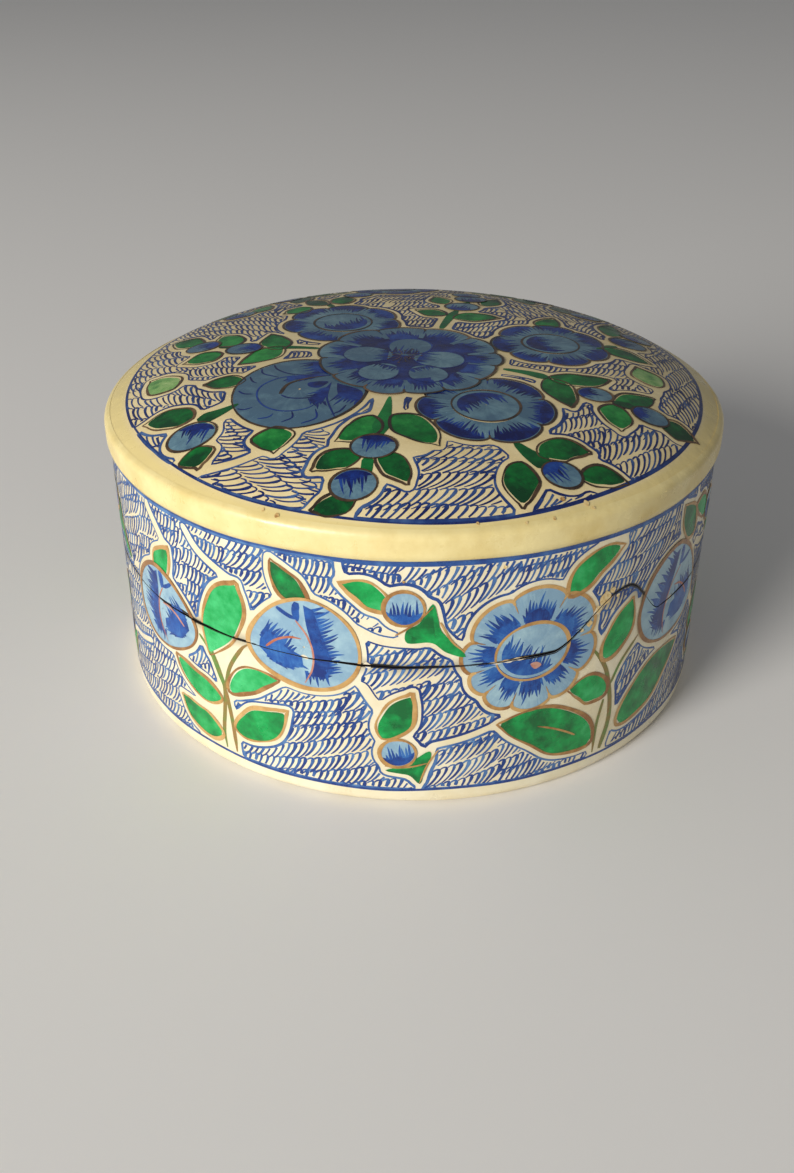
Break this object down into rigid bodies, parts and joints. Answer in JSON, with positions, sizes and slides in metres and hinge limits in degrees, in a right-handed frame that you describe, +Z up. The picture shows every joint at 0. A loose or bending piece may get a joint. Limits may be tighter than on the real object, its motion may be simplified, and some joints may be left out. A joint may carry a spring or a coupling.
{
  "type": "round lidded papier mache box",
  "caption": "Round painted papier mache box with a domed lift-off lid, which a rounded tooth in the parting line sets in one direction on an inner collar.",
  "frame": {"origin": "middle of the underside, on the surface the box stands on", "axes": "+Z up along the axis of the box, -Y towards the front that the picture shows, +X to the right"},
  "size_m": [0.1216, 0.1216, 0.0655],
  "materials": {
    "cream_ground": "gesso and paint under gloss varnish",
    "paper_pulp": "raw sawn pulp",
    "black_lacquer": "black lacquer, half gloss",
    "petal_blue": "watery paint under gloss varnish",
    "deep_blue": "fine brush strokes under gloss varnish",
    "leaf_green": "watery paint under gloss varnish",
    "outline_brown": "fine brush line under gloss varnish",
    "gesso_white": "bare chalky gesso where the paint is chipped"
  },
  "bodies": {
    "base": {"underside_coat": "cream_ground", "base_floor": "paper_pulp", "base_wall": "paper_pulp", "base_wall_coat": "cream_ground", "inner_collar": "black_lacquer", "floor_lining": "black_lacquer"},
    "lid": {"lid_wall": "paper_pulp", "lid_crown": "paper_pulp", "lid_rim_band": "cream_ground", "lid_wall_coat": "cream_ground", "lid_crown_coat": "cream_ground", "lid_lining": "black_lacquer"}
  },
  "joints": [
    {"name": "lid_lift", "type": "slide", "parent": "base", "child": "lid", "axis": [0, 0, 1], "range_m": [0, 0.06]}
  ]
}
